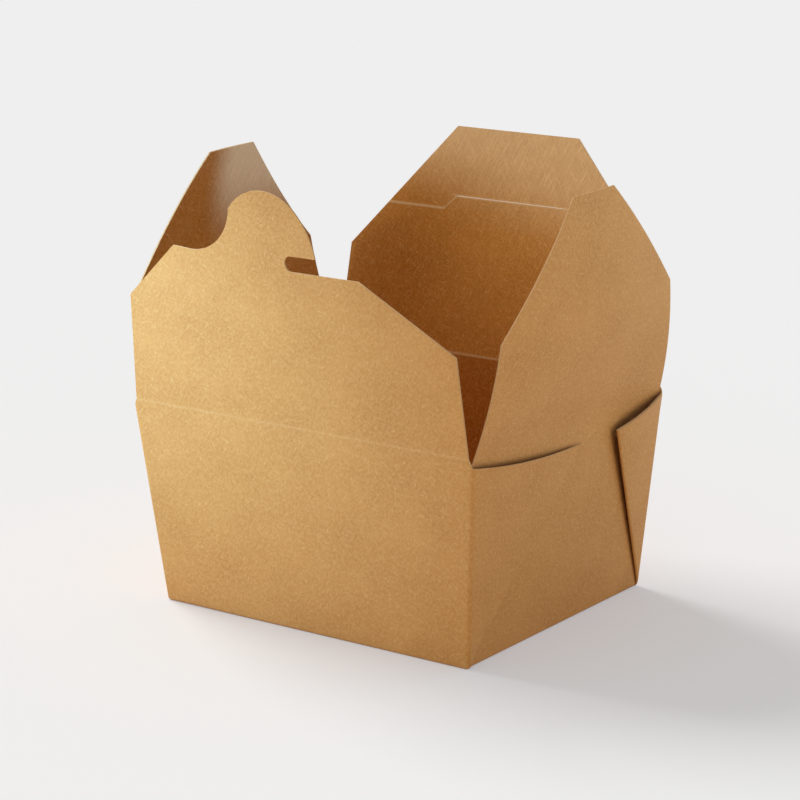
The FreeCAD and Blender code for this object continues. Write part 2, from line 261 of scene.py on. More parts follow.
def place_long(side, tip, fold_proud, lean):
    up_crease = front_up if side < 0 else back_up
    foot, _, away = fold_line(tip)

    def on_box(across, up):
        if up > up_crease:
            over = up - up_crease
            return Vector((across, half_width(up_crease) + math.sin(lean) * over,
                           up_crease + math.cos(lean) * over))
        end = half_length(up) + WEB_PROUD - foot_inset(up)
        wall = half_width(up) - foot_inset(up)
        past = across - corner_across(up)
        if past < -ARC:
            return Vector((across, wall, up))
        if past < ARC:
            turn = (past + ARC) / CORNER
            return Vector((end - CORNER + CORNER * math.sin(turn),
                           wall - CORNER + CORNER * math.cos(turn), up))
        part = min(past / max(web_reach(up, tip), LEAST_REACH), 1)
        share = smooth_share(part) * (up / tip[1] if fold_proud > WEB_PROUD else 1)
        gape = WEB_GAPE * 4 * part * (1 - part) * (up / RIM_UP) ** GAPE_GROWTH
        return Vector((end + (fold_proud - WEB_PROUD) * share + gape, wall - CORNER - (past - ARC), up))

    def place(across, up):
        flat = Vector((abs(across), up))
        beyond = (flat - foot).dot(away)
        depth = 0
        if fold_proud > WEB_PROUD and up < up_crease and beyond > -FOLD_ARC:
            turn = min((beyond + FOLD_ARC) / FOLD_ARC, 2) * math.pi / 2
            target = -FOLD_ARC + FOLD_RADIUS * math.sin(turn) - max(beyond - FOLD_ARC, 0)
            flat += away * (target - beyond)
            depth = FOLD_RADIUS * (1 - math.cos(turn))
        point = on_box(*flat)
        return Vector((math.copysign(point.x - depth, across), side * point.y, point.z))

    return place


print("the tip of the right front web is at",
      place_long(-1, FRONT_TIP, FRONT_FOLD_PROUD, FRONT_LEAN)(*web_edge(FRONT_TIP, None)[0]))

# %% [markdown]
# An end flap is bowed: it curves over its height and across its width, and both end flaps sway to the right,
# as the photo shows. The left flap's back edge also curls outwards. At its crease an end sheet has no sharp
# bend: a point's place is a mean of three, soft apart, so the wall runs into the flap in a curve.

# %% Place a point of an end sheet
END_SWAY = math.radians(3)
EDGE_SLOPE, EDGE_CURL, BOW_GROWTH = 0.262, 0.004525, 0.1286
LEFT_CURL, CURL_FROM, CURL_OVER = 3.0, 8, 36
SOFT_MOST, SOFT_LEAST = 5, 0.1
SOFT_HALF, SOFT_UP = 42, 14


def place_end(side):
    hinge = half_length(end_up) - BOARD / 2

    def folded(across, up):
        if up <= end_up:
            return Vector((side * (half_length(up) - foot_inset(up)), across, up))
        over = up - end_up
        edge = EDGE_SLOPE * over - EDGE_CURL * over * over
        bow = BOW_GROWTH * over * (1 - (across / half_width(RIM_UP)) ** 2)
        curl = 0
        if side < 0:
            curl = LEFT_CURL * smooth_share((across - CURL_FROM) / CURL_OVER) * min(over / END_SIDE[1], 1)
        out = side * (edge + bow + curl + BOARD / 2)
        return Vector((side * hinge + out * math.cos(END_SWAY) + over * math.sin(END_SWAY), across,
                       end_up - out * math.sin(END_SWAY) + over * math.cos(END_SWAY)))

    def place(across, up):
        near = max(0, 1 - abs(up - end_up) / SOFT_UP)
        soft = SOFT_MOST * max(SOFT_LEAST, 1 - (across / SOFT_HALF) ** 4) * near
        return (folded(across, up - soft) + folded(across, up) * 2 + folded(across, up + soft)) / 4

    return place


print("the middle of the right end flap's top is at", place_end(1)(0, end_up + END_TOP[1]))

# %% [markdown]
# ## Cutting and folding a sheet
#
# A sheet starts as one flat face inside its outline. Straight cuts with bisect_plane divide it where it will
# bend, so that the folded sheet stays smooth. Each vertex then moves to its place on the box, and the
# extruded copy goes one board's thickness inwards, which makes the coated face and the cut edge. The flat
# coordinates stay on the sheet as its UV map. A Solidify modifier could thicken the sheet too, but with the
# extruded copy each face is known to be outside, inside or edge. Vertex attributes are kept for the
# materials: pressed, on the creased lines, where the board goes pale, one for a sheen painted on the coating,
# and one for shade painted in the gaps behind the webs.

# %% Flat sheets and straight cuts
def flat_sheet(outline):
    bm = bmesh.new()
    bm.faces.new([bm.verts.new((across, up, 0)) for across, up in outline])
    return bm


def cut(bm, start, end, within=None):
    """Divides the flat faces along the line through two points, or only those whose middle is within."""
    if within is None:
        geometry = bm.verts[:] + bm.edges[:] + bm.faces[:]
    else:
        faces = [face for face in bm.faces if within(face.calc_center_median())]
        geometry = list(dict.fromkeys(item for face in faces for item in (*face.verts, *face.edges, face)))
    along = Vector(end) - Vector(start)
    bmesh.ops.bisect_plane(bm, geom=geometry, dist=0.002, plane_co=(*start, 0),
                           plane_no=(-along.y, along.x, 0))


def cut_rows(bm, heights, within=None):
    for up in heights:
        cut(bm, (0, up), (1, up), within)


def cut_columns(bm, places, within=None):
    for across in places:
        cut(bm, (across, 0), (across, 1), within)


def stretch(start, end, step):
    count = max(1, round((end - start) / step))
    return [start + (end - start) * index / count for index in range(1, count)]


FOOT_ROWS = [FOOT * share for share in (0.06, 0.2, 0.42, 0.7, 1)] + [FOOT * 2]
print("rows that round the foot, mm:", [round(up, 2) for up in FOOT_ROWS])

# %% Fold a flat sheet and give it its thickness
LINE_HALF = 0.65


def near_line(point, lines, reach):
    """Whether a flat point lies on one of the lines, each a list of points."""
    for line in lines:
        for a, b in zip(line, line[1:]):
            on_line, share = intersect_point_line(point, (*a, 0), (*b, 0))
            if -0.001 <= share <= 1.001 and (point - on_line).length < reach:
                return True
    return False


def fold_sheet(name, bm, place, pressed_lines=(), **shares):
    """The finished piece. Each of the shares is a vertex attribute, as a function of the flat place."""
    bmesh.ops.triangulate(bm, faces=[face for face in bm.faces if len(face.verts) > 4])
    flat = bm.verts.layers.float_vector.new("flat_place")
    pressed = bm.verts.layers.float.new("pressed")
    layers = {key: bm.verts.layers.float.new(key) for key in shares}
    for vert in bm.verts:
        vert[flat] = vert.co * MM
        vert[pressed] = float(near_line(vert.co, pressed_lines, 0.1))
        for key, share in shares.items():
            vert[layers[key]] = share(vert.co.x, vert.co.y)
        vert.co = place(vert.co.x, vert.co.y)
    bm.normal_update()
    outward = sum(face.normal.dot(face.calc_center_median() * Vector((1, 1, 0))) * face.calc_area()
                  for face in bm.faces)
    if outward < 0:
        bmesh.ops.reverse_faces(bm, faces=bm.faces[:])
        bm.normal_update()
    outer = set(bm.faces)
    grown = bmesh.ops.extrude_face_region(bm, geom=bm.faces[:])["geom"]
    inner = {item for item in grown if isinstance(item, bmesh.types.BMFace)}
    shift = {item: item.normal * -BOARD for item in grown if isinstance(item, bmesh.types.BMVert)}
    for vert, offset in shift.items():
        vert.co += offset
    bmesh.ops.recalc_face_normals(bm, faces=bm.faces[:])
    for face in bm.faces:
        face.smooth = True
        face.material_index = 0 if face in outer else 1 if face in inner else 2
    for edge in bm.edges:
        edge.smooth = len({face.material_index for face in edge.link_faces}) < 2
    return finish_mesh(name, bm, flat)


def finish_mesh(name, bm, flat):
    """The mesh in metres, with the flat coordinates as its UV map."""
    uv = bm.loops.layers.uv.new("flat")
    for face in bm.faces:
        for loop in face.loops:
            loop[uv].uv = loop.vert[flat].xy
    bm.verts.layers.float_vector.remove(flat)
    bmesh.ops.scale(bm, vec=(MM, MM, MM), verts=bm.verts)
    mesh = bpy.data.meshes.new(name)
    open_edges = sum(not edge.is_manifold for edge in bm.edges)
    bm.to_mesh(mesh)
    bm.free()
    piece = bpy.data.objects.new(name, mesh)
    bpy.context.scene.collection.objects.link(piece)
    print(f"{name}: {len(mesh.polygons)} faces, {open_edges} open edges")
    return piece


# %% [markdown]
# ## Front and back sheets
#
# A long sheet needs close columns at its rounded corners, close rows at its foot and crease, and a few
# slanted cuts at the fold of each back web. Its wall and its flap are flat, so they need few cuts. The rows
# at the crease reach from twice BEND below it to twice BEND above it.

# %% Cuts that both long sheets share
BEND = 1.2
FLAT_HALF = 56
PRESSED_HALF = 62


def cut_long_sheet(outline, up_crease, tip, doubled):
    bm = flat_sheet(outline)
    cut_rows(bm, [up_crease + BEND * share for share in (-2, -1, -0.5, 0.5, 1, 2)])
    cut_rows(bm, [up_crease + LINE_HALF * share for share in (-1, 0, 1)])
    cut_columns(bm, stretch(-FLAT_HALF, FLAT_HALF, 8))
    cut_rows(bm, FOOT_ROWS + stretch(FOOT * 2, up_crease - BEND * 2, 6))
    for sign in (-1, 1):
        def on_web(middle, sign=sign):
            return middle.x * sign > corner_across(middle.y) - ARC * 4 and middle.y < up_crease - BEND

        offsets = [ARC * share for share in (-2, -1, -0.6, -0.2, 0.2, 0.6, 1, 2)]
        offsets += stretch(ARC * 2, web_reach(tip[1], tip), 3)
        for past in offsets:
            start = (sign * (corner_across(0) + past), 0)
            end = (sign * (corner_across(RIM_UP) + past), RIM_UP)
            cut(bm, start, end, on_web)
        if doubled:
            foot, along, away = fold_line(tip)
            for share in (-2, -1, -0.6, -0.3, 0, 0.3, 0.6, 1, 2):
                start = foot + away * FOLD_ARC * share
                end = start + along
                cut(bm, (sign * start.x, start.y), (sign * end.x, end.y), on_web)
    return bm


def pressed_crease(up):
    return [(-PRESSED_HALF, up), (PRESSED_HALF, up)]


bm = cut_long_sheet(front_outline, front_up, FRONT_TIP, False)
front = fold_sheet("front_sheet", bm, place_long(-1, FRONT_TIP, FRONT_FOLD_PROUD, FRONT_LEAN),
                   [pressed_crease(front_up)])

# %% [markdown]
# A sheen is painted on the coated inside: towards the top right of the back flap, and at the top of an end
# flap's back half. These functions say how much sheen is painted on a flat point, from nought to one, and the
# material mixes in a whitish brown by that much. Paint by hand would do it too, but a rule is easy to change.

# %% Where sheen is painted on the coating
SHEEN_OVER = 30
SHEEN_BACK_MOST, SHEEN_BACK_SLANT, SHEEN_BACK_FROM = 0.62, 0.25, 99
SHEEN_END_UP, SHEEN_END_ACROSS, SHEEN_END_FADE = 97, -10, 14


def milky_back(across, up):
    return SHEEN_BACK_MOST * smooth_share((up + SHEEN_BACK_SLANT * across - SHEEN_BACK_FROM) / SHEEN_OVER)


def milky_end(across, up):
    aside = smooth_share((across - SHEEN_END_ACROSS) / SHEEN_END_FADE)
    return aside * smooth_share((up - SHEEN_END_UP) / SHEEN_OVER)


# How much sheen is painted at the top right of the back flap.
top_sheen = milky_back(BACK_FLAP_TOP[0], back_up + BACK_FLAP_TOP[1])
print(f"the top right of the back flap is {top_sheen:.2f} milky")

# %% [markdown]
# The back flap has the lock slit. It is cut through in its middle, with a small jog, and only pressed in on
# both sides of that. The cut faces of a slit nearly touch, so it is left very narrow.

# %% Back sheet with its lock slit
SLIT_LOW, SLIT_HIGH, SLIT_HALF = 45.1, 49.4, 0.04
SLIT_LEFT, SLIT_JOG, SLIT_RIGHT = -25.0, -20.6, 20.0
SCORE_HALF = 60
JOG_FROM, JOG_TO = -28, -18
slit_path = raised([(SLIT_LEFT, SLIT_LOW), (SLIT_JOG, SLIT_HIGH), (SLIT_RIGHT, SLIT_HIGH)], back_up)
score_left = raised([(-SCORE_HALF, SLIT_LOW), (SLIT_LEFT, SLIT_LOW)], back_up)
score_right = raised([(SLIT_RIGHT, SLIT_HIGH), (SCORE_HALF, SLIT_HIGH)], back_up)
slit_sides = (-LINE_HALF, -SLIT_HALF, SLIT_HALF, LINE_HALF)


def above_crease(middle):
    return middle.y > back_up + BEND * 2


def at_jog(middle):
    return SLIT_LOW - 0.1 < middle.y - back_up < SLIT_HIGH + 0.1 and JOG_FROM < middle.x < JOG_TO


bm = cut_long_sheet(back_outline, back_up, BACK_TIP, True)
cut_columns(bm, (SLIT_LEFT, SLIT_RIGHT), above_crease)
cut_rows(bm, stretch(back_up + 6, back_up + BACK_FLAP_TOP[1], 8), above_crease)
for level in (SLIT_LOW, SLIT_HIGH):
    cut_rows(bm, [back_up + level + side for side in slit_sides], above_crease)
for side in slit_sides:
    start, end = [(across - side, up) for across, up in slit_path[:2]]
    cut(bm, start, end, at_jog)
slit_faces = [face for face in bm.faces if near_line(face.calc_center_median(), [slit_path], SLIT_HALF)]
bmesh.ops.delete(bm, geom=slit_faces, context="FACES")
# The back sheet gets a sheen painted on its flap's inside.
back = fold_sheet("back_sheet", bm, place_long(1, BACK_TIP, BACK_FOLD_PROUD, BACK_LEAN),
                  [pressed_crease(back_up), slit_path, score_left, score_right], milky=milky_back)

# %% [markdown]
# ## End sheets
#
# The webs gape a little over the end wall, and in the photo those gaps are darker than soft light alone makes
# them here. So shade is painted into the board's colour there as well, by a vertex attribute. It is strongest
# at the web's edge and fades over a millimetre or two.

# %% Painted shade in the gaps behind the webs
WEB_SAG = 1.27
GAP_START, GAP_BEHIND = 0.6, 3
GAP_UP, GAP_ASIDE = 2.2, 1.3
TIP_FADE = 8
FOLD_TOP, FOLD_FADE = 57, 2


def back_fold_at(up):
    return half_width(up) - CORNER + ARC - web_reach(up, BACK_TIP)


def gap_end(across, up):
    """How much shade is painted on a point of an end: over a web's top edge, or beside the fold of the back
    web.
    """
    corner = half_width(WEB_CORNER_UP) - CORNER
    if across < FRONT_TIP[0]:
        way = min((FRONT_TIP[0] - across) / (FRONT_TIP[0] + corner), 1)
        above = up - FRONT_TIP[1] - (WEB_CORNER_UP - FRONT_TIP[1]) * way + 4 * WEB_SAG * way * (1 - way)
    elif across > -BACK_TIP[0]:
        way = min((across + BACK_TIP[0]) / (corner + BACK_TIP[0]), 1)
        above = up - BACK_TIP[1] - (WEB_CORNER_UP - BACK_TIP[1]) * way
    else:
        way, above = 0, 0
    over_edge = smooth_share(1 - (above + GAP_START) / GAP_UP) * smooth_share(above + GAP_BEHIND)
    over_edge *= min(way * TIP_FADE, 1)
    beside = back_fold_at(up) - across
    by_fold = smooth_share(1 - (beside + GAP_START) / GAP_ASIDE) * smooth_share(beside + GAP_BEHIND)
    by_fold *= smooth_share((FOLD_TOP - up) / FOLD_FADE)
    return max(over_edge, by_fold)


# How much shade is painted on the board beside the back web's fold, 30 mm up.
print(f"beside the back web's fold, 30 mm up, the board is {gap_end(back_fold_at(30), 30):.2f} dark")

# %% [markdown]
# An end sheet is curved near its crease and all over its flap, so it gets close rows and columns. A few
# slanted cuts beside the back web's fold let the painted shade there have a clean edge.

# %% Cut and fold the end sheets
CURVED = 16
BESIDE_FOLD = (-1.5, 0, 0.7, 1.4, 2.2)


def below_back_tip(middle):
    return middle.y < BACK_TIP[1] + 1


ends = {}
for name, side in (("left_end_flap", -1), ("right_end_flap", 1)):
    bm = flat_sheet(end_outlines[name])
    cut_rows(bm, FOOT_ROWS + stretch(FOOT * 2, end_up - CURVED, 8))
    cut_rows(bm, stretch(end_up - CURVED, end_up + CURVED, 1.2))
    cut_rows(bm, stretch(end_up + CURVED - 1, end_up + END_TOP[1], 3))
    cut_columns(bm, stretch(-END_FOOT[0], END_FOOT[0], 3.2))
    for beside in BESIDE_FOLD:
        start = (back_fold_at(0) - beside, 0)
        end = (back_fold_at(BACK_TIP[1]) - beside, BACK_TIP[1])
        cut(bm, start, end, below_back_tip)
    # Each end sheet gets a sheen painted on its flap's inside and shade painted in the gaps behind its webs.
    ends[name] = fold_sheet(name.replace("flap", "sheet"), bm, place_end(side), milky=milky_end, gap=gap_end)

# %% [markdown]
# ## Base and web linings
#
# The base is a plain panel that closes the tray between the curled feet of the walls. A cube would do, but a
# grid with an extruded copy has the same three kinds of face as the sheets. Each front web is doubled too,
# and its inner half shows as a second layer at the web's top edge.

# %% Base panel
BASE_INSET = FOOT * 0.6
bm = bmesh.new()
bmesh.ops.create_grid(bm, x_segments=8, y_segments=8, size=0.5)
panel = (2 * (half_length(0) - BASE_INSET), 2 * (half_width(0) - BASE_INSET), 1)
bmesh.ops.scale(bm, vec=panel, verts=bm.verts)
flat = bm.verts.layers.float_vector.new("flat_place")
for vert in bm.verts:
    vert[flat] = vert.co * MM
grown = bmesh.ops.extrude_face_region(bm, geom=bm.faces[:])["geom"]
top_verts = [item for item in grown if isinstance(item, bmesh.types.BMVert)]
bmesh.ops.translate(bm, vec=(0, 0, BOARD), verts=top_verts)
bmesh.ops.recalc_face_normals(bm, faces=bm.faces[:])
for face in bm.faces:
    face.material_index = 0 if face.normal.z < -0.5 else 1 if face.normal.z > 0.5 else 2
base = finish_mesh("base_panel", bm, flat)

# %% Linings of the front webs
LINING_GAP = 0.47
LINING_FOOT, LINING_TOP, LINING_SIDE = 6, 60.6, (50, 57)
LINING_SHARE = 0.45


def place_lining(sign):
    outer = place_long(-1, FRONT_TIP, WEB_PROUD, 0)

    def place(across, up):
        return outer(sign * across, up) - Vector((sign * LINING_GAP, 0, 0))

    return place


linings = []
lining_outline = [(corner_across(LINING_FOOT) + ARC, LINING_FOOT)]
lining_outline += [(corner_across(up) + web_reach(up, FRONT_TIP) * LINING_SHARE, up) for up in LINING_SIDE]
lining_outline += [(corner_across(LINING_TOP) + ARC, LINING_TOP)]
for name, sign in (("left", -1), ("right", 1)):
    bm = flat_sheet(lining_outline)
    cut_rows(bm, stretch(LINING_FOOT, LINING_TOP, 8))
    linings.append(fold_sheet(f"{name}_front_web_lining", bm, place_lining(sign)))

# %% [markdown]
# ## Joints
#
# Each sheet is one piece from the tray over its crease into its flap, because real board is one sheet there;
# two rigid pieces with a gap would be the other way. The base and the linings stay with the tray.
# Together these pieces stand for the CAD solids.

# %% Bake the sheets, hide the CAD parts they cover, and put the base and linings with the tray
bends = {"front_flap": front, "back_flap": back, **ends}
for flap, sheet in bends.items():
    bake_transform(sheet)
    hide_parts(flap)
for piece in [base] + linings:
    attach(piece, "tray")
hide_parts("tray")
print("sheets that bend:", ", ".join(sorted(sheet.name for sheet in bends.values())))

# %% [markdown]
# ## Materials
#
# Kraft board is a mottled brown with fine pale and dark fibres and a few specks. Its inner face is coated:
# the film darkens the brown and shines, with whitish streaks. The cut edge is a little paler. All patterns
# lie on the flat coordinates, so they run on over every fold. A pattern's size is given in millimetres, and a
# colour in linear values, so it looks paler than its numbers suggest.

# %% Material helpers
def new_material(name):
    material = bpy.data.materials.new(name)
    material.use_nodes = True
    nodes = material.node_tree.nodes
    return material, nodes, material.node_tree.links, nodes["Principled BSDF"]


def flat_map(nodes, links, size, turn=0.0):
    """The flat coordinates, turned and then measured in grains of the given size."""
    source = nodes.new("ShaderNodeUVMap")
    source.uv_map = "flat"
    mapping = nodes.new("ShaderNodeMapping")
    mapping.vector_type = "TEXTURE"
    mapping.inputs["Scale"].default_value = (size[0] * MM, size[1] * MM, 1)
    mapping.inputs["Rotation"].default_value = (0, 0, turn)
    links.new(source.outputs["UV"], mapping.inputs["Vector"])
    return mapping.outputs["Vector"]


def grain_noise(nodes, links, size, turn=0.0, detail=3.0, roughness=0.55, distortion=0.0):
    node = nodes.new("ShaderNodeTexNoise")
    node.inputs["Scale"].default_value = 1.0
    node.inputs["Detail"].default_value = detail
    node.inputs["Roughness"].default_value = roughness
    node.inputs["Distortion"].default_value = distortion
    links.new(flat_map(nodes, links, size, turn), node.inputs["Vector"])
    return node.outputs["Fac"]


def window(nodes, links, value, low, high, out_low=0.0, out_high=1.0):
    node = nodes.new("ShaderNodeMapRange")
    node.inputs["From Min"].default_value = low
    node.inputs["From Max"].default_value = high
    node.inputs["To Min"].default_value = out_low
    node.inputs["To Max"].default_value = out_high
    links.new(value, node.inputs["Value"])
    return node.outputs["Result"]


def mix_colour(nodes, links, share, first, second):
    node = nodes.new("ShaderNodeMix")
    node.data_type = "RGBA"
    links.new(share, node.inputs["Factor"])
    for value, name in ((first, "A"), (second, "B")):
        socket = next(item for item in node.inputs if item.name == name and item.type == "RGBA")
        if isinstance(value, tuple):
            socket.default_value = (*value, 1)
        else:
            links.new(value, socket)
    return next(item for item in node.outputs if item.type == "RGBA")


def combine(nodes, links, operation, first, second):
    node = nodes.new("ShaderNodeMath")
    node.operation = operation
    for index, value in enumerate((first, second)):
        if isinstance(value, (int, float)):
            node.inputs[index].default_value = value
        else:
            links.new(value, node.inputs[index])
    return node.outputs["Value"]


def painted(nodes, links, name, strength):
    """A vertex attribute of the sheets, times a strength."""
    attribute = nodes.new("ShaderNodeAttribute")
    attribute.attribute_name = name
    return combine(nodes, links, "MULTIPLY", attribute.outputs["Fac"], strength)


def add_bump(nodes, links, shader, height, strength, depth):
    bump = nodes.new("ShaderNodeBump")
    bump.inputs["Strength"].default_value = strength
    bump.inputs["Distance"].default_value = depth * MM
    links.new(height, bump.inputs["Height"])
    links.new(bump.outputs["Normal"], shader.inputs["Normal"])


# %% [markdown]
# Fibres are long thin grains of noise, cut off near their peaks. Several layers are turned by different
# angles, because the fibres of board lie every way. Specks are the middles of a few Voronoi cells.

# %% Kraft colour with fibres and specks
FIBRE_TURNS = (0.15, 0.75, 1.3, 1.9, 2.45, 2.95)


def fibres(nodes, links, turn, length, low, high):
    return window(nodes, links, grain_noise(nodes, links, (length, 0.36), turn, 2.0, 0.5, 0.2), low, high)


def specks(nodes, links, spacing, size, share):
    node = nodes.new("ShaderNodeTexVoronoi")
    node.inputs["Scale"].default_value = 1.0
    links.new(flat_map(nodes, links, (spacing, spacing), 0.4), node.inputs["Vector"])
    round_speck = window(nodes, links, node.outputs["Distance"], size / spacing, size / spacing * 0.5)
    chosen = nodes.new("ShaderNodeSeparateColor")
    links.new(node.outputs["Color"], chosen.inputs["Color"])
    kept = combine(nodes, links, "LESS_THAN", chosen.outputs["Red"], share)
    return combine(nodes, links, "MULTIPLY", round_speck, kept)


def kraft_colour(nodes, links, dark, middle, pale, fibre, fibre_share):
    cloud = grain_noise(nodes, links, (22, 17), 0.3, 3.0)
    mottle = grain_noise(nodes, links, (1.1, 0.8), 0.9, 3.0, 0.65)
    grain = grain_noise(nodes, links, (0.6, 0.5), 0.2, 3.0, 0.7)
    colour = mix_colour(nodes, links, window(nodes, links, cloud, 0.3, 0.7), dark, middle)
    colour = mix_colour(nodes, links, window(nodes, links, mottle, 0.36, 0.68, 0, 0.7), colour, pale)
    colour = mix_colour(nodes, links, window(nodes, links, grain, 0.5, 0.3, 0, 0.45), colour, dark)
    for index, turn in enumerate(FIBRE_TURNS):
        mask = fibres(nodes, links, turn, 2.0 + 0.4 * index, 0.60, 0.72)
        tone = fibre if index % 3 else dark
        colour = mix_colour(nodes, links, combine(nodes, links, "MULTIPLY", mask, fibre_share), colour, tone)
    return colour, grain


# %% [markdown]
# The kraft face is bare board: matte, with a fine bump from its own grain. It is a little paler on the
# creased lines, and shade is painted on it in the gaps behind the webs.

# %% Kraft face
KRAFT_DARK, KRAFT_MIDDLE, KRAFT_PALE = (0.500, 0.208, 0.050), (0.597, 0.270, 0.073), (0.690, 0.350, 0.116)
KRAFT_FIBRE, SPECK = (0.80, 0.49, 0.20), (0.16, 0.07, 0.02)
# The last colour is painted shade, for the gaps behind the webs.
KRAFT_PRESSED, GAP_SHADE = (0.76, 0.45, 0.19), (0.14, 0.045, 0.010)


def kraft_face():
    material, nodes, links, shader = new_material("kraft face")
    colour, grain = kraft_colour(nodes, links, KRAFT_DARK, KRAFT_MIDDLE, KRAFT_PALE, KRAFT_FIBRE, 0.34)
    dots = combine(nodes, links, "MULTIPLY", specks(nodes, links, 11, 0.3, 0.35), 0.75)
    colour = mix_colour(nodes, links, dots, colour, SPECK)
    colour = mix_colour(nodes, links, painted(nodes, links, "pressed", 0.25), colour, KRAFT_PRESSED)
    # Painted shade in the gaps behind the webs.
    colour = mix_colour(nodes, links, painted(nodes, links, "gap", 0.85), colour, GAP_SHADE)
    links.new(colour, shader.inputs["Base Color"])
    shader.inputs["Roughness"].default_value = 0.56
    shader.inputs["Specular IOR Level"].default_value = 0.35
    shader.inputs["Specular Tint"].default_value = (1.0, 0.9, 0.6, 1)
    add_bump(nodes, links, shader, grain, 0.25, 0.08)
    return material


# %% [markdown]
# The coated face is the same board seen through the film, so its browns are deeper. Streaks run two ways over
# it, and are paler and smoother than the rest. The painted sheen and the pressed lines are a whitish brown.

# %% Coated face
COATED_DARK, COATED_MIDDLE, COATED_PALE = (0.370, 0.118, 0.010), (0.490, 0.172, 0.019), (0.620, 0.260, 0.050)
COATED_FIBRE, STREAK = (0.78, 0.44, 0.16), (0.80, 0.50, 0.20)
# The first colour here is the whitish brown of the painted sheen.
SHEEN_WHITISH, COATED_PRESSED = (0.92, 0.74, 0.48), (0.86, 0.66, 0.40)


def coated_face():
    material, nodes, links, shader = new_material("coated face")
    colour, grain = kraft_colour(nodes, links, COATED_DARK, COATED_MIDDLE, COATED_PALE, COATED_FIBRE, 0.55)
    first = window(nodes, links, grain_noise(nodes, links, (7, 0.5), 1.15, 3.0, 0.6, 0.4), 0.45, 0.72)
    second = window(nodes, links, grain_noise(nodes, links, (6, 0.45), 2.1, 3.0, 0.6, 0.4), 0.48, 0.74)
    streaks = combine(nodes, links, "MAXIMUM", first, second)
    colour = mix_colour(nodes, links, combine(nodes, links, "MULTIPLY", streaks, 0.14), colour, STREAK)
    # A sheen painted in as a whitish brown, where the sheets carry it.
    milky = combine(nodes, links, "MULTIPLY", painted(nodes, links, "milky", 1.0),
                    window(nodes, links, streaks, 0, 1, 0.85, 1.2))
    colour = mix_colour(nodes, links, milky, colour, SHEEN_WHITISH)
    colour = mix_colour(nodes, links, painted(nodes, links, "pressed", 0.65), colour, COATED_PRESSED)
    links.new(colour, shader.inputs["Base Color"])
    links.new(window(nodes, links, streaks, 0, 1, 0.46, 0.30), shader.inputs["Roughness"])
    shader.inputs["Specular IOR Level"].default_value = 0.4
    shader.inputs["Specular Tint"].default_value = (1.0, 0.62, 0.2, 1)
    add_bump(nodes, links, shader, combine(nodes, links, "ADD", grain, streaks), 0.35, 0.06)
    return material


# %% [markdown]
# The cut edge shows the torn fibres inside the board, so it is rough and has a fine grain of two browns.
# Every piece gets the three materials in the same order, because its faces already have their numbers.

# %% Cut edge, and the materials on the pieces
EDGE_DARK, EDGE_PALE = (0.46, 0.24, 0.09), (0.68, 0.43, 0.20)


def cut_edge():
    material, nodes, links, shader = new_material("cut edge")
    grain = grain_noise(nodes, links, (0.4, 0.4), 0.0, 3.0)
    colour = mix_colour(nodes, links, grain, EDGE_DARK, EDGE_PALE)
    links.new(colour, shader.inputs["Base Color"])
    shader.inputs["Roughness"].default_value = 0.85
    return material


kraft, coated, edge = kraft_face(), coated_face(), cut_edge()
for piece in [*bends.values(), base, *linings]:
    for material in (kraft, coated, edge):
        piece.data.materials.append(material)
print("materials:", ", ".join(material.name for material in (kraft, coated, edge)))

# %% [markdown]
# ## Stage
#
# The background is an even pale grey, with a soft shadow to the right of the box. A soft sun from the left
# makes the shadow, and a slightly warm world fills the rest. To the camera the floor also glows a little, by
# as much as brings it to that grey in full light.

# %% Floor and world
PALE = 0.863
GLOW_SHARE = 0.3
FLOOR_TONE, FLOOR_HALF = 0.97, 6.0
WORLD_LEVEL, WORLD_TINT = 0.48, (1.0, 0.92, 0.80)
SUN_FROM, SUN_ENERGY = Vector((-0.70, 0.1, 0.70)), 1.9


def ray_seen(nodes, links):
    """One for the rays that meet the background straight, or off or through a surface."""
    path = nodes.new("ShaderNodeLightPath")
    both = combine(nodes, links, "MAXIMUM", path.outputs["Is Camera Ray"], path.outputs["Is Glossy Ray"])
    return combine(nodes, links, "MAXIMUM", both, path.outputs["Is Transmission Ray"])


def make_floor():
    bm = bmesh.new()
    bmesh.ops.create_grid(bm, x_segments=1, y_segments=1, size=FLOOR_HALF)
    mesh = bpy.data.meshes.new("floor")
    bm.to_mesh(mesh)
    bm.free()
    floor = bpy.data.objects.new("floor", mesh)
    bpy.context.scene.collection.objects.link(floor)
    material, nodes, links, shader = new_material("pale floor")
    shader.inputs["Base Color"].default_value = (FLOOR_TONE, FLOOR_TONE, FLOOR_TONE, 1)
    shader.inputs["Roughness"].default_value = 1.0
    shader.inputs["Specular IOR Level"].default_value = 0.0
    glow = nodes.new("ShaderNodeEmission")
    sun_level = SUN_ENERGY * SUN_FROM.normalized().z / math.pi
    lit = [FLOOR_TONE * (WORLD_LEVEL * tint + sun_level) for tint in WORLD_TINT]
    missing = [(PALE - (1 - GLOW_SHARE) * level) / GLOW_SHARE for level in lit]
    glow.inputs["Color"].default_value = (*missing, 1)
    mix = nodes.new("ShaderNodeMixShader")
    links.new(combine(nodes, links, "MULTIPLY", ray_seen(nodes, links), GLOW_SHARE), mix.inputs["Fac"])
    links.new(shader.outputs["BSDF"], mix.inputs[1])
    links.new(glow.outputs["Emission"], mix.inputs[2])
    links.new(mix.outputs["Shader"], nodes["Material Output"].inputs["Surface"])
    mesh.materials.append(material)


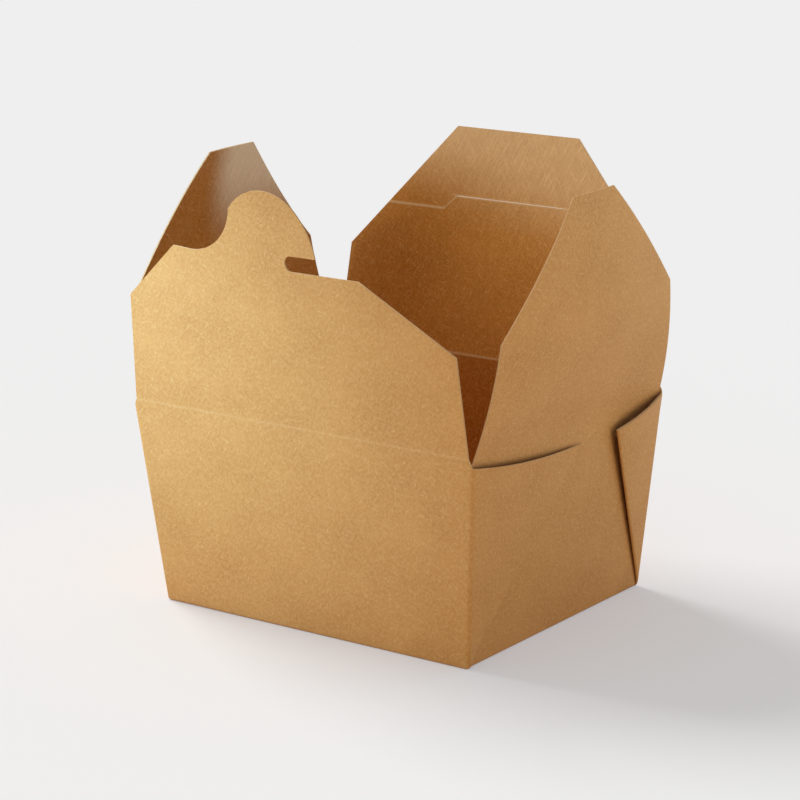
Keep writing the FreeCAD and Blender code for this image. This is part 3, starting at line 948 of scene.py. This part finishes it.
def make_world():
    world = bpy.data.worlds.new("studio")
    bpy.context.scene.world = world
    world.use_nodes = True
    nodes, links = world.node_tree.nodes, world.node_tree.links
    fill = nodes["Background"]
    fill.inputs["Color"].default_value = (*WORLD_TINT, 1)
    fill.inputs["Strength"].default_value = WORLD_LEVEL
    pale = nodes.new("ShaderNodeBackground")
    pale.inputs["Color"].default_value = (PALE, PALE, PALE, 1)
    mix = nodes.new("ShaderNodeMixShader")
    links.new(ray_seen(nodes, links), mix.inputs["Fac"])
    links.new(fill.outputs["Background"], mix.inputs[1])
    links.new(pale.outputs["Background"], mix.inputs[2])
    links.new(mix.outputs["Shader"], nodes["World Output"].inputs["Surface"])


make_floor()
make_world()
print(f"the background is {PALE} and the world's level {WORLD_LEVEL}")

# %% [markdown]
# Besides the sun, three small lamps light only the pieces that they are given. A cool spot brightens the left
# of the front sheet, and the left end sheet beside it, as a window would. A warm lamp near it is seen only as
# a gloss on the back and end sheets. A weak cool one lights the faces that look to the right.

# %% Lamps
DAYLIGHT, WARM = (0.36, 0.66, 1.0), (1.0, 0.8, 0.5)
SUN_ANGLE, WINDOW_ANGLE = math.radians(32), math.radians(27.5)
WINDOW_AT, WINDOW_AIM, WINDOW_POWER = (-0.28, -0.38, 0.25), (-0.068, -0.05, 0.10), 20
GLOSS_AT, GLOSS_AIM, GLOSS_POWER = (-0.28, -0.38, 0.20), (0, 0, 0.07), 2.0
SIDE_AT, SIDE_AIM, SIDE_POWER = (0.25, 0.12, 0.26), (0, 0, 0.09), 0.3


def add_lamp(name, kind, place, aim):
    data = bpy.data.lights.new(name, kind)
    lamp = bpy.data.objects.new(name, data)
    lamp.location = place
    lamp.rotation_euler = (Vector(aim) - Vector(place)).to_track_quat("-Z", "Y").to_euler()
    bpy.context.scene.collection.objects.link(lamp)
    return lamp


def box_lamp(name, kind, place, aim, power, pieces):
    """A lamp that lights only the given pieces."""
    lamp = add_lamp(name, kind, place, aim)
    lamp.data.energy = power
    lit_pieces = bpy.data.collections.new(f"{name}_pieces")
    for piece in pieces:
        lit_pieces.objects.link(piece)
    lamp.light_linking.receiver_collection = lit_pieces
    return lamp


sun = add_lamp("soft_sun", "SUN", SUN_FROM, (0, 0, 0))
sun.data.energy = SUN_ENERGY
sun.data.angle = SUN_ANGLE
window_spot = box_lamp("window_spot", "SPOT", WINDOW_AT, WINDOW_AIM, WINDOW_POWER,
                       [front, ends["left_end_flap"]])
window_spot.data.color = DAYLIGHT
window_spot.data.spot_size = WINDOW_ANGLE
window_spot.data.spot_blend = 1.0
window_spot.data.shadow_soft_size = 0.05
gloss_lamp = box_lamp("gloss_lamp", "AREA", GLOSS_AT, GLOSS_AIM, GLOSS_POWER, [back, *ends.values()])
gloss_lamp.data.size = 0.25
gloss_lamp.data.color = WARM
gloss_lamp.visible_diffuse = False
side_lamp = box_lamp("side_lamp", "AREA", SIDE_AT, SIDE_AIM, SIDE_POWER, [*bends.values()])
side_lamp.data.size = 0.15
side_lamp.data.color = DAYLIGHT
print("lamps: soft_sun, window_spot, gloss_lamp, side_lamp")

# %% [markdown]
# The camera stands where the photo was taken from: to the right of the front, and a little above the box. The
# place, the lens and the small roll come from the fit to the corners of the box.

# %% Camera at the photo's angle
AIM = Vector((-0.04, 0.35, 61.14)) * MM
AZIMUTH, ELEVATION, ROLL = math.radians(37.08), math.radians(14.99), math.radians(-1.17)
DISTANCE = 897.29 * MM
SENSOR, LENS = 36, 133.8
camera_data = bpy.data.cameras.new("camera")
camera_data.sensor_width = SENSOR
camera_data.lens = LENS
camera = bpy.data.objects.new("camera", camera_data)
toward = Vector((math.sin(AZIMUTH) * math.cos(ELEVATION), -math.cos(AZIMUTH) * math.cos(ELEVATION),
                 math.sin(ELEVATION)))
camera.location = AIM + toward * DISTANCE
camera.rotation_mode = "QUATERNION"
camera.rotation_quaternion = (-toward).to_track_quat("-Z", "Y") @ Quaternion((0, 0, 1), ROLL)
bpy.context.scene.collection.objects.link(camera)
bpy.context.scene.camera = camera
bpy.context.scene.view_settings.view_transform = "Standard"
print(f"the camera stands {DISTANCE:.2f} m away")
